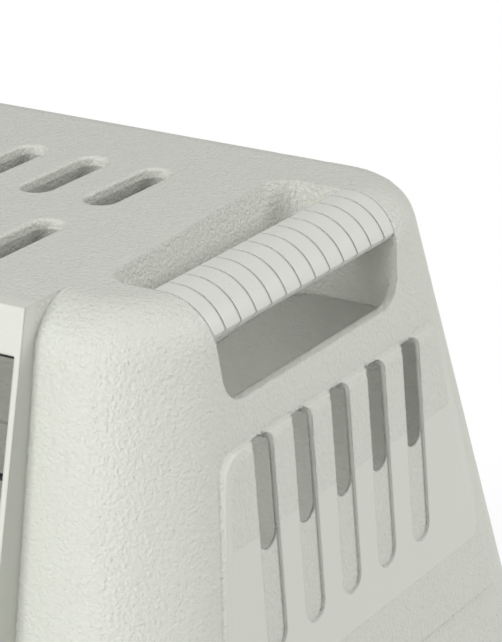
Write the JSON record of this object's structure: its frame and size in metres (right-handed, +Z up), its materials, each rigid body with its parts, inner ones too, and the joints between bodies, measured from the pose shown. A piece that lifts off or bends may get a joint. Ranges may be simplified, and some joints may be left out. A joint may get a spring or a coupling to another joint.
{
  "type": "plastic dog crate",
  "caption": "Plastic dog crate for a car boot: tapered vented upper shell clipped to a tub, wire doors on pins with squeeze latches, and a carry grip at each end.",
  "frame": {"origin": "centre of the footprint, on the surface the feet stand on", "axes": "+X towards one carrying end, -Y out of the doors, +Z up"},
  "size_m": [0.846, 0.5244, 0.61],
  "materials": {
    "shell": "leather grain, satin",
    "tub": "leather grain, satin",
    "grip": "smooth satin",
    "wire": "gloss black coating",
    "post": "satin",
    "latch": "satin black",
    "thumb": "satin grey",
    "bolt": "drawn, zinc plated",
    "spring": "drawn",
    "screw": "zinc plated",
    "clip": "smooth satin",
    "rubber": "matte"
  },
  "bodies": {
    "crate": {"base_shell": "tub", "top_shell": "shell", "rubber_feet": "rubber", "handle_right": "grip", "handle_left": "grip", "handle_screws": "screw", "centre_post": "post", "post_screws": "screw", "clip_pins": "screw"},
    "door_right": {"door_right": "wire", "latch_body_right": "latch", "latch_cover_right": "latch", "latch_screws_right": "screw", "latch_spring_right": "spring"},
    "bolt_upper_right": {"thumb_upper_right": "thumb", "bolt_upper_right": "bolt"},
    "bolt_lower_right": {"thumb_lower_right": "thumb", "bolt_lower_right": "bolt"},
    "door_left": {"door_left": "wire", "latch_body_left": "latch", "latch_cover_left": "latch", "latch_screws_left": "screw", "latch_spring_left": "spring"},
    "bolt_upper_left": {"thumb_upper_left": "thumb", "bolt_upper_left": "bolt"},
    "bolt_lower_left": {"thumb_lower_left": "thumb", "bolt_lower_left": "bolt"},
    "clip_right_front": {"clip_right_front": "clip"},
    "clip_left_front": {"clip_left_front": "clip"},
    "clip_right_rear": {"clip_right_rear": "clip"},
    "clip_left_rear": {"clip_left_rear": "clip"},
    "clip_back_right": {"clip_back_right": "clip"},
    "clip_back_left": {"clip_back_left": "clip"}
  },
  "joints": [
    {"name": "door_right_hinge", "type": "hinge", "parent": "crate", "child": "door_right", "pos_m": [0.2835, -0.18428, 0.36], "axis": [0, 0.2079, 0.9781], "range_deg": [0, 100]},
    {"name": "bolt_upper_right_slide", "type": "slide", "parent": "door_right", "child": "bolt_upper_right", "axis": [0, -0.2079, -0.9781], "range_m": [0, 0.0105], "stiffness_N_per_m": 400, "springref_m": -0.004, "deforming": ["latch_spring_right"]},
    {"name": "bolt_lower_right_slide", "type": "slide", "parent": "door_right", "child": "bolt_lower_right", "axis": [0, 0.2079, 0.9781], "range_m": [0, 0.0105], "stiffness_N_per_m": 400, "springref_m": -0.004},
    {"name": "door_left_hinge", "type": "hinge", "parent": "crate", "child": "door_left", "pos_m": [-0.2835, -0.18428, 0.36], "axis": [0, -0.2079, -0.9781], "range_deg": [0, 100]},
    {"name": "bolt_upper_left_slide", "type": "slide", "parent": "door_left", "child": "bolt_upper_left", "axis": [0, -0.2079, -0.9781], "range_m": [0, 0.0105], "stiffness_N_per_m": 400, "springref_m": -0.004, "deforming": ["latch_spring_left"]},
    {"name": "bolt_lower_left_slide", "type": "slide", "parent": "door_left", "child": "bolt_lower_left", "axis": [0, 0.2079, 0.9781], "range_m": [0, 0.0105], "stiffness_N_per_m": 400, "springref_m": -0.004},
    {"name": "clip_right_front_hinge", "type": "hinge", "parent": "crate", "child": "clip_right_front", "pos_m": [0.41445, -0.10202, 0.092], "axis": [0, 1, 0], "range_deg": [0, 110]},
    {"name": "clip_left_front_hinge", "type": "hinge", "parent": "crate", "child": "clip_left_front", "pos_m": [-0.41445, -0.10202, 0.092], "axis": [0, -1, 0], "range_deg": [0, 110]},
    {"name": "clip_right_rear_hinge", "type": "hinge", "parent": "crate", "child": "clip_right_rear", "pos_m": [0.41445, 0.12798, 0.092], "axis": [0, 1, 0], "range_deg": [0, 110]},
    {"name": "clip_left_rear_hinge", "type": "hinge", "parent": "crate", "child": "clip_left_rear", "pos_m": [-0.41445, 0.12798, 0.092], "axis": [0, -1, 0], "range_deg": [0, 110]},
    {"name": "clip_back_right_hinge", "type": "hinge", "parent": "crate", "child": "clip_back_right", "pos_m": [0.21, 0.25361, 0.092], "axis": [-1, 0, 0], "range_deg": [0, 110]},
    {"name": "clip_back_left_hinge", "type": "hinge", "parent": "crate", "child": "clip_back_left", "pos_m": [-0.21, 0.25361, 0.092], "axis": [-1, 0, 0], "range_deg": [0, 110]}
  ],
  "couplings": [
    {"joint": "bolt_lower_right_slide", "follows": "bolt_upper_right_slide", "ratio": 1},
    {"joint": "bolt_lower_left_slide", "follows": "bolt_upper_left_slide", "ratio": 1}
  ]
}
